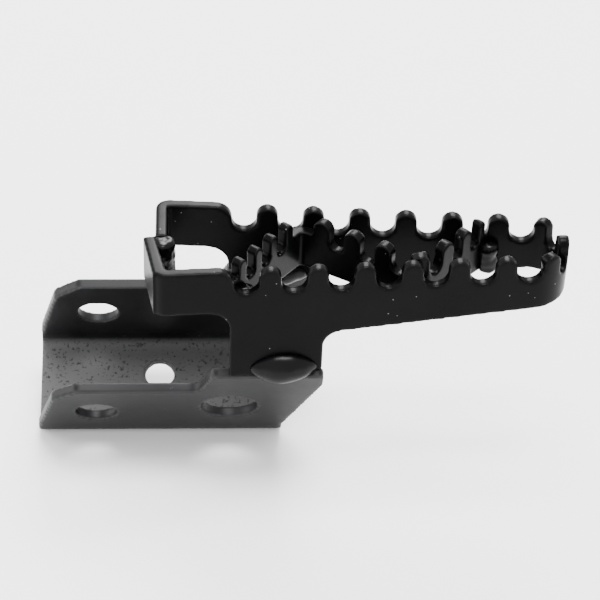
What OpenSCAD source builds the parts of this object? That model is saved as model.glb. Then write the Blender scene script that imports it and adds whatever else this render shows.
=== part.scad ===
// Folding motorcycle foot peg, right-hand side, welded from bent steel strip.
// Row frame in millimetres: origin at the centre of the pivot bore, +X outboard
// along the tread, +Y to the rear wall of the tread, +Z up, tread level on top.

/* [Pivot bracket] */

// overall width of the bracket at its web
bracket_w = 31.5; // [26:0.5:40]
// sheet thickness of the bracket
bracket_t = 3; // [2:0.25:5]
// height of the ears measured from the back of the web
ear_h = 33; // [28:0.5:40]
// extra height of the ears where the tread stands on them
ear_step = 10.5; // [6:0.5:14]
// outside radius of the two long bends
bend_r = 7; // [5:0.5:9]
// lean of the bracket about the tread's length, degrees
tilt = 26.3; // [15:0.1:35]
// outward lean of each ear, degrees
splay = 2.1; // [0:0.1:4]
// diameter of the pivot bore through both ears
pivot_d = 11; // [8:0.1:13]
// height of the pivot above the back of the web
pivot_h = 18.5; // [15:0.5:22]
// diameter of the large hole in the front ear
ear_hole_d = 15; // [10:0.5:17]
// diameter of the drain hole in the web
web_hole_d = 8; // [5:0.5:12]

/* [Tread rail] */

// outside width of the tread at its first tooth
tread_w = 29.5; // [26:0.5:36]
// length from the first tooth to the outer end
tread_l = 77; // [70:1:84]
// taper of each long wall, degrees
taper = 3.9; // [0:0.1:6]
// thickness of the toothed strip
strip_t = 3; // [2:0.25:4]
// spacing of the teeth
pitch = 12; // [11:0.25:13]
// depth of the gaps between teeth
tooth_h = 7.1; // [5:0.1:8]
// outside radius of the two outer corners
corner_r = 9.5; // [7:0.5:11]
// wall depth at the inboard end
wall_h = 13; // [11:0.5:16]
// wall depth at the first tooth
deep_h = 22; // [19:0.5:26]
// rise of the lower edge towards the outer end, degrees
rise = 5.4; // [3:0.1:8]

/* [Inner strip] */

// depth of the zigzag strip
inner_h = 15.5; // [12:0.5:18]
// middle radius of its two bends
inner_r = 2.8; // [2:0.1:5]

/* [Hidden] */

$fn = 72;

// place of the first tooth on the tread's centre line, row frame
tread_x = 45.2;
tread_y = -11;
tread_z = 48.7;

leg_x0 = -10;                  // inboard edge of the legs, tread frame
leg_x1 = 14;                   // outboard edge of the legs
web_x0 = -16;                  // inboard edge of the web, bracket frame
web_x1 = 50;                   // outboard edge of the web
ear_x1 = leg_x1 + tread_x + 0.5;
seat = ear_h + ear_step - pivot_h;   // plane the legs stand on, bracket frame

tip_r = 0.233 * pitch;         // rounding of the teeth
gap_r = pitch / 2 - tip_r;     // rounding of the gaps
gap_z = gap_r - tooth_h;       // height of the gap centres
end_tip_r = 0.87 * tip_r;      // the three teeth around the outer end
end_gap_r = 2;                 // the two gaps between them
end_cx = tread_l - corner_r;   // centres of the outer corners
end_cy = half_w(end_cx) - corner_r / cos(taper);
fold_x = -28.9;                // outer face of the inboard tabs
over = 0.02;                   // how far a rounding passes its two edges
lap = 0.15;                    // where the front tab ends outside the rear one

steel = [0.10, 0.10, 0.11];
dark = [0.07, 0.07, 0.075];
bead = [0.13, 0.13, 0.14];

function half_w(x) = tread_w / 2 - x * tan(taper);
function unit(v) = v / norm(v);
function edge_z(x) = -deep_h + x * tan(rise);

// ---- shared 2-D and placing helpers ----

module in_tread() { translate([tread_x, tread_y, tread_z]) children(); }
module in_bracket() { rotate([tilt, 0, 0]) children(); }

// extrude a side view (x, z) along Y, over y0 .. y1
module side_view(y0, y1) {
    translate([0, y1, 0]) rotate([90, 0, 0]) linear_extrude(y1 - y0) children();
}

// polygon with rounded corners: pts [[x, y, r], ...], anticlockwise
module rounded(pts) {
    n = len(pts);
    difference() {
        union() {
            difference() {
                polygon([for (p = pts) [p[0], p[1]]]);
                for (i = [0 : n - 1]) if (pts[i][2] > 0 && turn(pts, i) > 0) corner_tri(pts, i);
            }
            for (i = [0 : n - 1]) if (pts[i][2] > 0 && turn(pts, i) > 0)
                translate(corner_c(pts, i)) circle(pts[i][2] + over);
            for (i = [0 : n - 1]) if (pts[i][2] > 0 && turn(pts, i) < 0) corner_tri(pts, i);
        }
        for (i = [0 : n - 1]) if (pts[i][2] > 0 && turn(pts, i) < 0)
            translate(corner_c(pts, i)) circle(pts[i][2] + over);
    }
}
function xy(pts, i) = let (n = len(pts), p = pts[(i + n) % n]) [p[0], p[1]];
function turn(pts, i) = cross(xy(pts, i) - xy(pts, i - 1), xy(pts, i + 1) - xy(pts, i));
function half_angle(pts, i) = let (
    a = unit(xy(pts, i - 1) - xy(pts, i)), b = unit(xy(pts, i + 1) - xy(pts, i))) acos(a * b) / 2;
function corner_c(pts, i) = let (
    a = unit(xy(pts, i - 1) - xy(pts, i)), b = unit(xy(pts, i + 1) - xy(pts, i)))
    xy(pts, i) + unit(a + b) * pts[i][2] / sin(half_angle(pts, i));
module corner_tri(pts, i) {
    p = xy(pts, i);
    a = unit(xy(pts, i - 1) - p);
    b = unit(xy(pts, i + 1) - p);
    d = pts[i][2] / tan(half_angle(pts, i));
    polygon([p, p + a * d, p + b * d]);
}

// the same outline with its roundings in short flats, for sheet that meets at an angle
module pressed(pts) {
    polygon([for (i = [0 : len(pts) - 1]) each corner_pts(pts, i)]);
}
function corner_pts(pts, i) = pts[i][2] == 0 ? [xy(pts, i)] : let (
    c = corner_c(pts, i), h = half_angle(pts, i), sweep = 180 - 2 * h,
    v = xy(pts, i) + unit(xy(pts, i - 1) - xy(pts, i)) * pts[i][2] / tan(h) - c,
    n = ceil(sweep / 8), s = turn(pts, i) > 0 ? 1 : -1)
    [for (k = [0 : n]) c + turned(v, s * sweep * k / n)];
function turned(v, t) = [v[0] * cos(t) - v[1] * sin(t), v[0] * sin(t) + v[1] * cos(t)];

// ---- pivot bracket ----

// outline of an ear seen from the side, with the raised seat starting at x0
module ear_outline(x0) {
    h = ear_h - pivot_h;
    low = bend_r - pivot_h + 1;
    pressed([[web_x0, -pivot_h - 5, 0], [web_x1, -pivot_h - 5, 0], [web_x1, low, 0],
             [ear_x1, seat - 6, 4], [ear_x1, seat, 1.5], [x0, seat, 2.5],
             [x0 - 3.5, h, 3.5], [-5, h, 2.5], [-11.5, h - 5.5, 2.5], [web_x0, low, 0]]);
}

// half width of the section at height z above the web, off inside the outer face
function sec_w(z, off) = bracket_w / 2 + (z + pivot_h - bend_r) * tan(splay) - off / cos(splay);

// the bent section from the end: outer face for off = 0, inner for bracket_t
module section(off, top) {
    foot = off - pivot_h;
    r = bend_r - off;
    pressed([[-sec_w(foot, off), foot, r], [sec_w(foot, off), foot, r],
             [sec_w(top, off), top, 0], [-sec_w(top, off), top, 0]]);
}

module clevis_bracket() {
    color(dark) in_bracket() difference() {
        intersection() {
            translate([web_x0 - 5, 0, 0]) rotate([90, 0, 90]) linear_extrude(90) difference() {
                section(0, seat + 6);
                section(bracket_t, seat + 9);
            }
            union() {
                side_view(-40, 0) ear_outline(tread_x - 14.5);
                side_view(0, 40) ear_outline(tread_x + leg_x0 + 0.2);
            }
        }
        rotate([90, 0, 0]) cylinder(h = 60, r = pivot_d / 2, center = true);
        translate([tread_x - 9.7, 0, 3.7]) rotate([90, 0, 0])
            cylinder(h = 30, r = ear_hole_d / 2);
        translate([16.7, 2, -pivot_h - 1]) cylinder(h = bracket_t + 2, r = web_hole_d / 2);
    }
}

// everything of the bracket frame below the seat plane
module below_seat() {
    in_bracket() translate([-60, -60, seat - 60]) cube([200, 120, 60]);
}

// ---- tread rail ----

// y of the wall's face, off inside the outer face
function face_y(x, off) = half_w(x) - off / cos(taper);

// plan of the inside of the loop, closed square at the inboard end
module inside_plan() {
    x0 = fold_x + strip_t;
    x1 = tread_l - strip_t;
    r = corner_r - strip_t;
    rounded([[x0, -face_y(x0, strip_t), 0], [x1, -face_y(x1, strip_t), r],
             [x1, face_y(x1, strip_t), r], [x0, face_y(x0, strip_t), 0]]);
}

// plan of the loop wall: two tabs close it, the front one lapping outside the rear
module wall_plan() {
    x0 = fold_x + strip_t;
    x1 = tread_l - strip_t;
    r = corner_r - strip_t;
    difference() {
        rounded([[fold_x - 0.3, -half_w(fold_x), strip_t + 0.6],
                 [tread_l, -half_w(tread_l), corner_r], [tread_l, half_w(tread_l), corner_r],
                 [fold_x, half_w(fold_x), strip_t + 0.6], [fold_x, 0.6, 0],
                 [fold_x - lap, 0.6, 0], [fold_x - lap - strip_t, 0.1, 0]]);
        rounded([[x0 - 0.3, -face_y(x0, strip_t), 0.6], [x1, -face_y(x1, strip_t), r],
                 [x1, face_y(x1, strip_t), r], [x0, face_y(x0, strip_t), 0.6], [x0, 0.5, 0],
                 [fold_x, 0.5, 0], [fold_x, 2, 0], [fold_x - lap, 2, 0], [fold_x - lap, 0.6, 0]]);
    }
}

// side view of the wall below the teeth
module body_view() {
    slope_x = tread_l + 6;
    rounded([[fold_x - 10, -wall_h, 0], [leg_x0, -wall_h, 5.5], [leg_x0, -45, 0],
             [leg_x1, -45, 0], [leg_x1, edge_z(leg_x1), 5], [slope_x, edge_z(slope_x), 0],
             [slope_x, gap_z, 0], [fold_x - 10, gap_z, 0]]);
    // level run at the inboard end, as high as the teeth
    rounded([[fold_x - 10, gap_z - 1, 0], [-pitch / 2 - gap_r, gap_z - 1, 0],
             [-pitch / 2 - gap_r, 0, 4], [fold_x - 10, 0, 0]]);
}

// one tooth seen square-on, its root at the gap centres
module tooth_view(r) {
    translate([0, -r]) circle(r);
    translate([-r, gap_z - 0.5]) square([2 * r, -gap_z + 0.5 - r]);
}

module tread_rail() {
    color(steel) difference() {
        in_tread() difference() {
            intersection() {
                translate([0, 0, -50]) linear_extrude(55) wall_plan();
                union() {
                    side_view(-30, 30) body_view();
                    for (i = [0 : 5]) side_view(-30, 30) translate([i * pitch, 0]) tooth_view(tip_r);
                    for (s = [-1, 1]) translate([end_cx, s * end_cy, 0])
                        rotate(s * 60) rotate([90, 0, 90])
                            translate([0, 0, corner_r - strip_t - 1]) linear_extrude(8) tooth_view(end_tip_r);
                    rotate([90, 0, 90]) translate([0, 0, tread_l - strip_t - 1])
                        linear_extrude(8) tooth_view(end_tip_r);
                }
            }
            for (i = [0 : 6]) translate([(i - 0.5) * pitch, 0, gap_z]) rotate([90, 0, 0])
                cylinder(h = 60, r = gap_r, center = true);
            for (s = [-1, 1]) translate([end_cx, s * end_cy, end_gap_r - tooth_h]) rotate(s * 31) {
                translate([2, 0, 0]) rotate([0, 90, 0]) cylinder(h = 12, r = end_gap_r);
                translate([2, -end_gap_r, 0]) cube([12, 2 * end_gap_r, 10]);
            }
        }
        below_seat();
    }
}

// ---- zigzag inner strip ----

// corners of its middle line: front root, rear bend, front bend, rear end
zig = [[-11.4, -13.5], [8.6, inner_face(8.6) - strip_t / 2 + 0.95],
       [38.2, -inner_face(38.2) + strip_t / 2 - 0.85], [56.5, 9.2]];
function inner_face(x) = half_w(x) - strip_t / cos(taper);

// corner of the strip's face at bend i: side 1 inside the bend, -1 outside
function miter(i, side) = let (
    u = unit(zig[i - 1] - zig[i]), v = unit(zig[i + 1] - zig[i]), h = acos(u * v) / 2)
    concat(zig[i] + side * unit(u + v) * strip_t / 2 / sin(h), inner_r - side * strip_t / 2);
// end of a face of the strip, on past its end: side 1 rear face, -1 front face
function face_end(i, run, side, on) = let (d = unit(zig[run + 1] - zig[run]))
    zig[i] + side * [-d[1], d[0]] * strip_t / 2 + d * on;

// all the plan in front of the strip's rear face (side 1) or front face (-1)
module in_front_of(side) {
    a = face_end(0, 0, side, -8);
    b = face_end(3, 2, side, 8);
    pressed([[a[0], -60, 0], [b[0], -60, 0], concat(b, 0), miter(2, side), miter(1, -side),
             concat(a, 0)]);
}

module zigzag_plan() {
    intersection() {
        inside_plan();
        difference() {
            in_front_of(1);
            in_front_of(-1);
        }
    }
}

// put children across run i of the strip, s along it
module on_run(i, s) {
    d = unit(zig[i + 1] - zig[i]);
    translate(concat(zig[i] + d * s, 0)) rotate(atan2(d[1], d[0])) children();
}

module cross_tooth(r) {
    w = 2 * strip_t;
    translate([0, w / 2, 0]) rotate([90, 0, 0]) linear_extrude(w) {
        translate([0, -r]) circle(r);
        translate([-r, zig_top - 1]) square([2 * r, 1 - zig_top - r]);
    }
}

zig_top = 2.3 - tooth_h;            // top of the zigzag strip between its teeth
zig_teeth = [[0, 5.6, 1.5], [0, 12, 1.5], [0, 18.4, 1.5], [0, 24.8, 1.5],
             [1, 6.9, 2.5], [1, 15.9, 2.5], [1, 24.9, 2.5],
             [2, 9.2, 2.4], [2, 16.6, 1.9], [2, 22.6, 1.2]];
// gaps between them: [run, distance, radius]
zig_gaps = [[0, 8.8, 1.8], [0, 15.2, 1.8], [0, 21.6, 1.8], [1, 11.4, 2.1], [1, 20.4, 2.1],
            [1, 29.8, 2.3], [2, 4.6, 2.1], [2, 13.15, 1.65], [2, 20, 1.6]];

module inner_strip() {
    color(steel) in_tread() difference() {
        intersection() {
            translate([0, 0, -inner_h]) linear_extrude(inner_h + 4) zigzag_plan();
            union() {
                translate([-20, -20, -inner_h - 2]) cube([90, 40, inner_h + 2 + zig_top]);
                for (t = zig_teeth) on_run(t[0], t[1]) cross_tooth(t[2]);
                translate([zig[2][0], zig[2][1], 0]) cross_tooth(2.5);
            }
        }
        for (g = zig_gaps) on_run(g[0], g[1]) translate([0, 0, g[2] - tooth_h])
            rotate([90, 0, 0]) cylinder(h = 2 * strip_t, r = g[2], center = true);
    }
}

// ---- weld beads ----

// spindle along X: l long, r thick in the middle
module spindle(l, r) {
    big = (l * l / 4 + r * r) / (2 * r);
    rotate([0, 90, 0]) rotate_extrude() intersection() {
        translate([r - big, 0]) circle(big);
        translate([0, -l / 2]) square([r, l]);
    }
}

module bead_between(a, b, r) {
    d = b - a;
    translate((a + b) / 2) rotate([0, 0, atan2(d[1], d[0])])
        rotate([0, -atan2(d[2], norm([d[0], d[1]])), 0]) spindle(norm(d), r);
}

module front_leg_weld() {
    color(bead) difference() {
        in_tread() translate([0, 0.6, 0]) intersection() {
            bead_between([-5.6, -15, -31.2], [13.4, -13.6, -31.2], 4.4);
            translate([-20, -30, -50]) cube([60, 16, 40]);
        }
        tread_rail();
        clevis_bracket();
    }
}

module rear_leg_weld() {
    color(bead) difference() {
        in_tread() intersection() {
            bead_between([-8, 12.9, -20.2], [13, 12.9, -20.2], 4);
            translate([-20, -10, -50]) cube([60, 22.4, 60]);
        }
        tread_rail();
        clevis_bracket();
    }
}

module seam_weld() {
    color(bead) difference() {
        in_tread() intersection() {
            translate([fold_x + 1.8, -1.1, -wall_h - 1]) cylinder(h = wall_h + 0.4, r = 2.8);
            translate([fold_x, -10, -wall_h]) cube([12, 20, wall_h]);
        }
        tread_rail();
    }
}

// bead standing beside the zigzag strip, inside the loop: p plan centre, r radius
module strip_bead(p, r) {
    in_tread() intersection() {
        translate([p[0], p[1], -inner_h]) cylinder(h = inner_h - 7.6, r = r);
        translate([0, 0, -inner_h]) linear_extrude(inner_h - 7.6) inside_plan();
        children();
    }
}

module strip_end_weld() {
    color(bead) difference() {
        strip_bead([57.6, 7.6], 2.4) translate([-40, -40, -40]) cube([120, 80, 80]);
        inner_strip();
    }
}

module strip_root_weld() {
    color(bead) difference() {
        strip_bead([-5.9, -11.7], 1.9) translate([-40, -40, -40]) cube([120, 80, 80]);
        inner_strip();
    }
}

module rear_apex_weld() {
    color(bead) strip_bead([12.2, 10.8], 2.2) difference() {
        translate([-40, -40, -40]) cube([120, 80, 80]);
        translate([0, 0, -41]) linear_extrude(82) in_front_of(1);
    }
}

module front_apex_weld() {
    color(bead) strip_bead([34.6, -9.4], 2.2)
        translate([0, 0, -41]) linear_extrude(82) in_front_of(-1);
}

clevis_bracket();
tread_rail();
inner_strip();
front_leg_weld();
rear_leg_weld();
seam_weld();
strip_end_weld();
strip_root_weld();
rear_apex_weld();
front_apex_weld();
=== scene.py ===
import math
import bpy
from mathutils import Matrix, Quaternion, Vector


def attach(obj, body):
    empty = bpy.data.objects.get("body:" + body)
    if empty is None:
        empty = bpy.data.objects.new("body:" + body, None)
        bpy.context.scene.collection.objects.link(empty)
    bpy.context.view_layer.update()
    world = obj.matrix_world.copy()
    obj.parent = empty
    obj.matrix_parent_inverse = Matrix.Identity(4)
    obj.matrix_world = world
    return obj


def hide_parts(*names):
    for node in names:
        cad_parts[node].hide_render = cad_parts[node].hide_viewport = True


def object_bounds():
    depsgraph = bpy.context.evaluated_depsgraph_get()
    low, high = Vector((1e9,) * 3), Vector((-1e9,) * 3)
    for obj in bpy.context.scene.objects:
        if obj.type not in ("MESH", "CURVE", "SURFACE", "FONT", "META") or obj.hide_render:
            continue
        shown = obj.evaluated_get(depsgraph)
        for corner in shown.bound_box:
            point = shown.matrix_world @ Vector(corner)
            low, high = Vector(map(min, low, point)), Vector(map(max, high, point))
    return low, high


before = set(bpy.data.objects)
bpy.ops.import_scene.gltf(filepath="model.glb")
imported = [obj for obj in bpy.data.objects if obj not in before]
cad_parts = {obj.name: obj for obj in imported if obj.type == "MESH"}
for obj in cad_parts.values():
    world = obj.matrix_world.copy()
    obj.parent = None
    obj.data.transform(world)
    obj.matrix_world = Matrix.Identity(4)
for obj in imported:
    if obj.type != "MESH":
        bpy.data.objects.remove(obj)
cad_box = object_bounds()

MM = 0.001
BODY = "root"
MIDDLE = (cad_box[0] + cad_box[1]) / 2

# ---- camera, floor and lights ----

CAMERA_AT = Vector((0.02462, -0.45465, 0.37608))
CAMERA_LOOKS = Vector((0.0515, 0.7859, -0.6162))
CAMERA_ROLL = math.radians(2.22)
LENS = 130.1
SENSOR = 36.0

ROOM_BRIGHTNESS = 2.1
FLOOR_SIZE = 8.0
# name, place, width in metres, watts
SOFT_BOXES = [
    ("overhead_box", (0.1, 0.0, 0.9), 0.4, 14.0),
    ("back_box", (0.15, 0.8, 0.65), 0.4, 14.0),
    ("left_box", (-0.8, 0.2, 0.35), 0.4, 5.0),
]


def make_camera():
    data = bpy.data.cameras.new("studio_camera")
    data.lens = LENS
    data.sensor_width = SENSOR
    data.clip_start = 0.02
    data.clip_end = 20.0
    camera = bpy.data.objects.new("studio_camera", data)
    bpy.context.scene.collection.objects.link(camera)
    camera.rotation_mode = "QUATERNION"
    camera.location = CAMERA_AT
    aim = CAMERA_LOOKS.to_track_quat("-Z", "Y")
    camera.rotation_quaternion = aim @ Quaternion((0, 0, 1), CAMERA_ROLL)
    bpy.context.scene.camera = camera


def make_light(name, place, size, watts):
    """A square soft box that faces the middle of the foot peg."""
    data = bpy.data.lights.new(name, "AREA")
    data.shape = "SQUARE"
    data.size = size
    data.energy = watts
    lamp = bpy.data.objects.new(name, data)
    bpy.context.scene.collection.objects.link(lamp)
    lamp.location = place
    lamp.rotation_mode = "QUATERNION"
    lamp.rotation_quaternion = (MIDDLE - lamp.location).to_track_quat("-Z", "Y")


def make_studio():
    world = bpy.data.worlds.new("white_room")
    world.use_nodes = True
    background = world.node_tree.nodes["Background"]
    background.inputs["Color"].default_value = (1, 1, 1, 1)
    background.inputs["Strength"].default_value = ROOM_BRIGHTNESS
    bpy.context.scene.world = world
    for soft_box in SOFT_BOXES:
        make_light(*soft_box)
    clear_selection()
    bpy.ops.mesh.primitive_plane_add(size=FLOOR_SIZE, location=(MIDDLE.x, MIDDLE.y, cad_box[0].z))
    floor = bpy.context.object
    floor.name = "studio_floor"
    floor.data.materials.append(floor_finish())


# ---- modelling helpers ----


def clear_selection():
    bpy.ops.object.select_all(action="DESELECT")


def select_only(piece):
    clear_selection()
    piece.select_set(True)
    bpy.context.view_layer.objects.active = piece


def finish_modifier(piece, modifier):
    select_only(piece)
    bpy.ops.object.modifier_apply(modifier=modifier.name)


def merged_copy(node, name):
    """A new object with the node's mesh, its loose triangles joined up."""
    piece = bpy.data.objects.new(name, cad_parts[node].data.copy())
    bpy.context.scene.collection.objects.link(piece)
    select_only(piece)
    bpy.ops.object.mode_set(mode="EDIT")
    bpy.ops.mesh.select_all(action="SELECT")
    bpy.ops.mesh.remove_doubles(threshold=0.001 * MM)
    bpy.ops.object.mode_set(mode="OBJECT")
    piece.data.materials.clear()
    return piece


def soften(piece, grain, passes):
    """Rebuild the surface in even squares and let its edges round over."""
    remesh = piece.modifiers.new("even_skin", "REMESH")
    remesh.mode = "VOXEL"
    remesh.voxel_size = grain
    finish_modifier(piece, remesh)
    smooth = piece.modifiers.new("round_edges", "SMOOTH")
    smooth.factor = 0.5
    smooth.iterations = passes
    finish_modifier(piece, smooth)


def ripple(piece, size, height):
    """Raise and sink the skin in soft lumps of the given size."""
    lumps = bpy.data.textures.new(piece.name + "_lumps", "CLOUDS")
    lumps.noise_scale = size
    lumps.noise_depth = 1
    push = piece.modifiers.new("lumps", "DISPLACE")
    push.texture = lumps
    push.texture_coords = "LOCAL"
    push.strength = height
    push.mid_level = 0.0
    finish_modifier(piece, push)


def settle(piece, node, finish):
    select_only(piece)
    bpy.ops.object.shade_smooth()
    piece.data.materials.append(finish)
    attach(piece, BODY)
    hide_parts(node)


# ---- finishes ----

# dark, pale: the paint's colour where it is thick and thin; gloss: its roughness there
# edge_highlight: colour of the painted highlight on its edges; speck: colour, radius and density of
# its pinholes
PAINTS = {
    "rail_paint": dict(
        dark=(0.0006, 0.0006, 0.0007), pale=(0.0014, 0.0014, 0.0016), gloss=(0.26, 0.38),
        edge_highlight=(0.010, 0.010, 0.010), peel_depth=0.05 * MM, speck=((0.13, 0.13, 0.13), 0.07, 430.0),
        shine=0.05),
    "strip_paint": dict(
        dark=(0.0006, 0.0006, 0.0007), pale=(0.0014, 0.0014, 0.0016), gloss=(0.26, 0.38),
        edge_highlight=(0.010, 0.010, 0.010), peel_depth=0.05 * MM, speck=((0.1, 0.1, 0.1), 0.06, 330.0),
        shine=0.05),
    "bracket_paint": dict(
        dark=(0.004, 0.004, 0.0045), pale=(0.010, 0.010, 0.011), gloss=(0.38, 0.5),
        edge_highlight=(0.05, 0.05, 0.05), peel_depth=0.06 * MM, speck=((0.07, 0.07, 0.07), 0.07, 700.0),
        shine=0.13),
    "weld_paint": dict(
        dark=(0.001, 0.001, 0.0012), pale=(0.0025, 0.0025, 0.003), gloss=(0.20, 0.32),
        edge_highlight=(0.008, 0.008, 0.008), peel_depth=0.04 * MM, speck=((0.05, 0.05, 0.05), 0.05, 400.0),
        shine=0.10),
}
# the bracket's lean, and the heights above its pivot between which the web's painted reflection
# fades out
TILT = math.radians(26.3)
WEB_LOW, WEB_HIGH = -15.0 * MM, -13.6 * MM
WEB_ROUGHNESS = 0.62


class Nodes:
    """Adds and joins the nodes of one material or group."""

    def __init__(self, tree):
        self.tree = tree

    def add(self, kind, **inputs):
        node = self.tree.nodes.new(kind)
        for name, value in inputs.items():
            self.feed(node, name.replace("_", " "), value)
        return node

    def feed(self, node, name, value):
        if isinstance(value, bpy.types.NodeSocket):
            self.tree.links.new(value, node.inputs[name])
        else:
            node.inputs[name].default_value = value

    def ramp(self, value, low, high, low_at, high_at):
        """Turn a value into a colour that runs from low to high."""
        node = self.add("ShaderNodeValToRGB", Fac=value)
        first, last = node.color_ramp.elements
        first.position, first.color = low_at, (*low, 1)
        last.position, last.color = high_at, (*high, 1)
        return node.outputs["Color"]

    def span(self, value, low, high, low_at=0.0, high_at=1.0):
        """Map a value from low_at .. high_at onto low .. high."""
        node = self.add("ShaderNodeMapRange", Value=value)
        node.inputs["From Min"].default_value = low_at
        node.inputs["From Max"].default_value = high_at
        node.inputs["To Min"].default_value = low
        node.inputs["To Max"].default_value = high
        return node.outputs["Result"]


def make_paint_group():
    """Sprayed powder paint: its peel, its cloudiness, its pinholes, and a painted highlight on its
    edges.
    """
    group = bpy.data.node_groups.new("powder_paint", "ShaderNodeTree")
    sockets = [("Peel Size", 900.0), ("Cloud Size", 60.0),
               ("Speck Size", 300.0), ("Speck Radius", 0.06)]
    for name, value in sockets:
        socket = group.interface.new_socket(name, in_out="INPUT", socket_type="NodeSocketFloat")
        socket.default_value = value
    for name in ("Peel", "Cloud", "Speck", "Edge Highlight"):
        group.interface.new_socket(name, in_out="OUTPUT", socket_type="NodeSocketFloat")
    nodes = Nodes(group)
    given = nodes.add("NodeGroupInput").outputs
    place = nodes.add("ShaderNodeTexCoord").outputs["Object"]
    peel = nodes.add("ShaderNodeTexNoise", Vector=place, Scale=given["Peel Size"], Detail=2.0)
    cloud = nodes.add("ShaderNodeTexNoise", Vector=place, Scale=given["Cloud Size"], Detail=4.0)
    cells = nodes.add("ShaderNodeTexVoronoi", Vector=place, Scale=given["Speck Size"])
    rare = nodes.span(cells.outputs["Color"], 0.0, 1.0, 0.62, 0.66)
    dot = nodes.add("ShaderNodeMath")
    dot.operation = "LESS_THAN"
    nodes.tree.links.new(cells.outputs["Distance"], dot.inputs[0])
    nodes.tree.links.new(given["Speck Radius"], dot.inputs[1])
    speck = nodes.add("ShaderNodeMath")
    speck.operation = "MULTIPLY"
    nodes.tree.links.new(dot.outputs["Value"], speck.inputs[0])
    nodes.tree.links.new(rare, speck.inputs[1])
    shape = nodes.add("ShaderNodeNewGeometry")
    # painted highlight: the most convex edges are masked to take a lighter colour
    edge_highlight_mask = nodes.span(shape.outputs["Pointiness"], 0.0, 1.0, 0.515, 0.60)
    out = nodes.add("NodeGroupOutput")
    nodes.feed(out, "Peel", peel.outputs["Fac"])
    nodes.feed(out, "Cloud", cloud.outputs["Fac"])
    nodes.feed(out, "Speck", speck.outputs["Value"])
    nodes.feed(out, "Edge Highlight", edge_highlight_mask)
    return group


def painted(name, paint, dark, pale, gloss, edge_highlight, peel_depth, speck, shine):
    """One steel finish from the shared powder paint."""
    speck_tint, radius, density = speck
    material = bpy.data.materials.new(name)
    material.use_nodes = True
    nodes = Nodes(material.node_tree)
    shader = material.node_tree.nodes["Principled BSDF"]
    coat = nodes.add("ShaderNodeGroup")
    coat.node_tree = paint
    coat.inputs["Speck Radius"].default_value = radius
    coat.inputs["Speck Size"].default_value = density
    skin = nodes.ramp(coat.outputs["Cloud"], dark, pale, 0.35, 0.68)
    # painted highlight: the masked edges are tinted lighter, standing in for the light they catch
    highlighted_edges = nodes.add("ShaderNodeMixRGB", Fac=coat.outputs["Edge Highlight"], Color1=skin, Color2=(*edge_highlight, 1))
    dotted = nodes.add("ShaderNodeMixRGB", Fac=coat.outputs["Speck"], Color1=highlighted_edges.outputs["Color"],
                       Color2=(*speck_tint, 1))
    nodes.feed(shader, "Base Color", dotted.outputs["Color"])
    nodes.feed(shader, "Roughness", nodes.span(coat.outputs["Cloud"], *gloss, 0.3, 0.7))
    bump = nodes.add("ShaderNodeBump", Height=coat.outputs["Peel"], Strength=0.35,
                     Distance=peel_depth)
    nodes.feed(shader, "Normal", bump.outputs["Normal"])
    shader.inputs["Specular IOR Level"].default_value = shine
    return material


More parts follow.
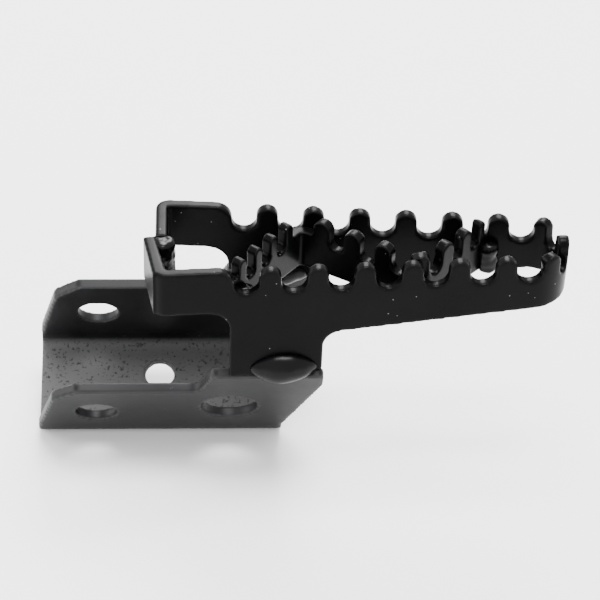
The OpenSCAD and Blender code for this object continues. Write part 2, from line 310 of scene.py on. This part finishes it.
def paint_web_reflection(material):
    """Painted reflection on the web inside the bend: its paint is made greyer, standing in for the
    light it reflects, and also duller and pitted.
    """
    nodes = Nodes(material.node_tree)
    shader = material.node_tree.nodes["Principled BSDF"]
    place = nodes.add("ShaderNodeTexCoord").outputs["Object"]
    level = nodes.add("ShaderNodeMapping", Vector=place)
    level.inputs["Rotation"].default_value = (-TILT, 0, 0)
    height = nodes.add("ShaderNodeSeparateXYZ", Vector=level.outputs["Vector"]).outputs["Z"]
    web = nodes.span(height, 1.0, 0.0, WEB_LOW, WEB_HIGH)
    # painted reflection: a mottled grey with dark specks, laid on the web in place of the light it
    # reflects
    reflection_mottle = nodes.add("ShaderNodeTexNoise", Vector=place, Scale=1100.0, Detail=3.0)
    reflection_grey = nodes.ramp(reflection_mottle.outputs["Fac"], (0.010, 0.010, 0.010), (0.075, 0.075, 0.076), 0.27, 0.44)
    colour = shader.inputs["Base Color"].links[0].from_socket
    rough = shader.inputs["Roughness"].links[0].from_socket
    greyed = nodes.add("ShaderNodeMixRGB", Fac=web, Color1=colour, Color2=reflection_grey)
    dulled = nodes.add("ShaderNodeMapRange", Value=web, To_Min=rough, To_Max=WEB_ROUGHNESS)
    nodes.feed(shader, "Base Color", greyed.outputs["Color"])
    nodes.feed(shader, "Roughness", dulled.outputs["Result"])


def floor_finish():
    material = bpy.data.materials.new("white_card")
    material.use_nodes = True
    shader = material.node_tree.nodes["Principled BSDF"]
    shader.inputs["Base Color"].default_value = (0.93, 0.93, 0.93, 1)
    shader.inputs["Roughness"].default_value = 0.9
    return material


# ---- the foot peg ----


# node, name of its painted piece, finish, slot, size of the skin's squares, rounding passes
SHEET_PARTS = [
    ("clevis_bracket", "bracket_painted", "bracket_paint", "bracket_coat", 0.50 * MM, 3),
    ("tread_rail", "rail_painted", "rail_paint", "rail_coat", 0.36 * MM, 12),
    ("inner_strip", "strip_painted", "strip_paint", "strip_coat", 0.3 * MM, 12),
]
WELD_GRAIN = 0.2 * MM
# node, size of its lumps, height of its lumps, rounding passes
WELDS = [
    ("front_leg_weld", 6.0 * MM, 0.5 * MM, 40),
    ("rear_leg_weld", 4.0 * MM, 0.6 * MM, 10),
    ("seam_weld", 3.2 * MM, 1.0 * MM, 70),
    ("strip_end_weld", 3.4 * MM, 1.1 * MM, 120),
    ("strip_root_weld", 2.4 * MM, 0.7 * MM, 40),
    ("rear_apex_weld", 2.4 * MM, 0.7 * MM, 40),
    ("front_apex_weld", 2.4 * MM, 0.7 * MM, 40),
]


def build_sheet_parts(finishes):
    for node, name, finish, slot, grain, passes in SHEET_PARTS:
        piece = merged_copy(node, name)
        soften(piece, grain, passes)
        settle(piece, node, finishes[finish])


def build_welds(finishes):
    for node, size, height, passes in WELDS:
        weld = merged_copy(node, node.replace("weld", "bead"))
        soften(weld, WELD_GRAIN, passes)
        ripple(weld, size, height)
        settle(weld, node, finishes["weld_paint"])


paint = make_paint_group()
finishes = {name: painted(name, paint, **values) for name, values in PAINTS.items()}
paint_web_reflection(finishes["bracket_paint"])

make_camera()
make_studio()
build_sheet_parts(finishes)
build_welds(finishes)
